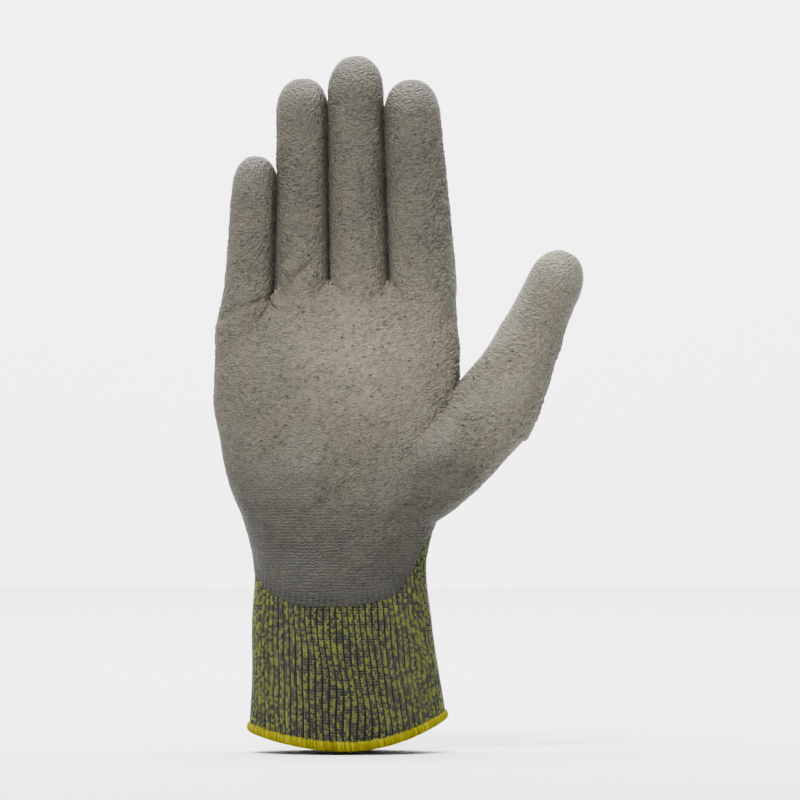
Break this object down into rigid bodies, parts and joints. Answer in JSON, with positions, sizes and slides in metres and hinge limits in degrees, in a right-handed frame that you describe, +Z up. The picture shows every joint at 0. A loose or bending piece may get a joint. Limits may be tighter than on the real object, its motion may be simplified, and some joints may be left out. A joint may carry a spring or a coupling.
{
  "type": "cut resistant glove",
  "caption": "Right-hand knitted work glove with a coated palm and fingers, a ribbed cuff and a bright overlocked hem, filled out upright, with folds at each knuckle and the wrist.",
  "frame": {"origin": "middle of the cuff's mouth, level with the lowest point of the hem", "axes": "+Z up along the fingers, the palm side faces -Y, the thumb is on the +X side"},
  "size_m": [0.1343, 0.0524, 0.2502],
  "materials": {
    "shell_knit": "matte",
    "cuff_knit": "matte",
    "palm_film": "satin",
    "fold_cloth": "matte",
    "hem_thread": "matte"
  },
  "bodies": {
    "cuff": {"cuff_rib": "cuff_knit", "cuff_hem": "hem_thread", "heel_coating": "palm_film", "wrist_fold": "fold_cloth"},
    "palm": {"palm_knit": "shell_knit", "palm_coating": "palm_film", "index_base_fold": "fold_cloth", "middle_base_fold": "fold_cloth", "ring_base_fold": "fold_cloth", "little_base_fold": "fold_cloth", "thumb_base_fold": "fold_cloth"},
    "index_base": {"index_base_knit": "shell_knit", "index_base_coating": "palm_film", "index_middle_fold": "fold_cloth"},
    "index_middle": {"index_middle_knit": "shell_knit", "index_middle_coating": "palm_film", "index_tip_fold": "fold_cloth"},
    "index_tip": {"index_tip_knit": "shell_knit", "index_tip_coating": "palm_film"},
    "middle_base": {"middle_base_knit": "shell_knit", "middle_base_coating": "palm_film", "middle_middle_fold": "fold_cloth"},
    "middle_middle": {"middle_middle_knit": "shell_knit", "middle_middle_coating": "palm_film", "middle_tip_fold": "fold_cloth"},
    "middle_tip": {"middle_tip_knit": "shell_knit", "middle_tip_coating": "palm_film"},
    "ring_base": {"ring_base_knit": "shell_knit", "ring_base_coating": "palm_film", "ring_middle_fold": "fold_cloth"},
    "ring_middle": {"ring_middle_knit": "shell_knit", "ring_middle_coating": "palm_film", "ring_tip_fold": "fold_cloth"},
    "ring_tip": {"ring_tip_knit": "shell_knit", "ring_tip_coating": "palm_film"},
    "little_base": {"little_base_knit": "shell_knit", "little_base_coating": "palm_film", "little_middle_fold": "fold_cloth"},
    "little_middle": {"little_middle_knit": "shell_knit", "little_middle_coating": "palm_film", "little_tip_fold": "fold_cloth"},
    "little_tip": {"little_tip_knit": "shell_knit", "little_tip_coating": "palm_film"},
    "thumb_base": {"thumb_base_knit": "shell_knit", "thumb_base_coating": "palm_film", "thumb_tip_fold": "fold_cloth"},
    "thumb_tip": {"thumb_tip_knit": "shell_knit", "thumb_tip_coating": "palm_film"}
  },
  "joints": [
    {"name": "wrist_bend", "type": "hinge", "parent": "cuff", "child": "palm", "pos_m": [0, 0, 0.069], "axis": [1, 0, 0], "range_deg": [-40, 40], "deforming": ["wrist_fold"]},
    {"name": "index_base_bend", "type": "hinge", "parent": "palm", "child": "index_base", "pos_m": [0.02721, -0.002, 0.17399], "axis": [0.9979, 0, 0.0645], "range_deg": [-10, 45], "deforming": ["index_base_fold"]},
    {"name": "index_middle_bend", "type": "hinge", "parent": "index_base", "child": "index_middle", "pos_m": [0.02593, -0.002, 0.1938], "axis": [0.9979, 0, 0.0645], "range_deg": [0, 90], "deforming": ["index_middle_fold"]},
    {"name": "index_tip_bend", "type": "hinge", "parent": "index_middle", "child": "index_tip", "pos_m": [0.02439, -0.002, 0.21768], "axis": [0.9979, 0, 0.0645], "range_deg": [0, 60], "deforming": ["index_tip_fold"]},
    {"name": "middle_base_bend", "type": "hinge", "parent": "palm", "child": "middle_base", "pos_m": [0.00456, -0.002, 0.174], "axis": [0.9997, 0, 0.0227], "range_deg": [-10, 45], "deforming": ["middle_base_fold"]},
    {"name": "middle_middle_bend", "type": "hinge", "parent": "middle_base", "child": "middle_middle", "pos_m": [0.00404, -0.002, 0.19698], "axis": [0.9997, 0, 0.0227], "range_deg": [0, 90], "deforming": ["middle_middle_fold"]},
    {"name": "middle_tip_bend", "type": "hinge", "parent": "middle_middle", "child": "middle_tip", "pos_m": [0.00343, -0.002, 0.22394], "axis": [0.9997, 0, 0.0227], "range_deg": [0, 60], "deforming": ["middle_tip_fold"]},
    {"name": "ring_base_bend", "type": "hinge", "parent": "palm", "child": "ring_base", "pos_m": [-0.01564, -0.002, 0.174], "axis": [1, 0, 0.0074], "range_deg": [-10, 45], "deforming": ["ring_base_fold"]},
    {"name": "ring_middle_bend", "type": "hinge", "parent": "ring_base", "child": "ring_middle", "pos_m": [-0.01579, -0.002, 0.194], "axis": [1, 0, 0.0074], "range_deg": [0, 90], "deforming": ["ring_middle_fold"]},
    {"name": "ring_tip_bend", "type": "hinge", "parent": "ring_middle", "child": "ring_tip", "pos_m": [-0.01597, -0.002, 0.21798], "axis": [1, 0, 0.0074], "range_deg": [0, 60], "deforming": ["ring_tip_fold"]},
    {"name": "little_base_bend", "type": "hinge", "parent": "palm", "child": "little_base", "pos_m": [-0.036, -0.002, 0.16559], "axis": [0.9976, 0, -0.0698], "range_deg": [-10, 45], "deforming": ["little_base_fold"]},
    {"name": "little_middle_bend", "type": "hinge", "parent": "little_base", "child": "little_middle", "pos_m": [-0.03507, -0.002, 0.17884], "axis": [0.9976, 0, -0.0698], "range_deg": [0, 90], "deforming": ["little_middle_fold"]},
    {"name": "little_tip_bend", "type": "hinge", "parent": "little_middle", "child": "little_tip", "pos_m": [-0.03392, -0.002, 0.1952], "axis": [0.9976, 0, -0.0698], "range_deg": [0, 60], "deforming": ["little_tip_fold"]},
    {"name": "thumb_base_bend", "type": "hinge", "parent": "palm", "child": "thumb_base", "pos_m": [0.05804, -0.00193, 0.13133], "axis": [0.8803, -0.2588, -0.3975], "range_deg": [0, 40], "deforming": ["thumb_base_fold"]},
    {"name": "thumb_tip_bend", "type": "hinge", "parent": "thumb_base", "child": "thumb_tip", "pos_m": [0.06751, -0.00193, 0.15229], "axis": [0.8803, -0.2588, -0.3975], "range_deg": [0, 60], "deforming": ["thumb_tip_fold"]}
  ]
}
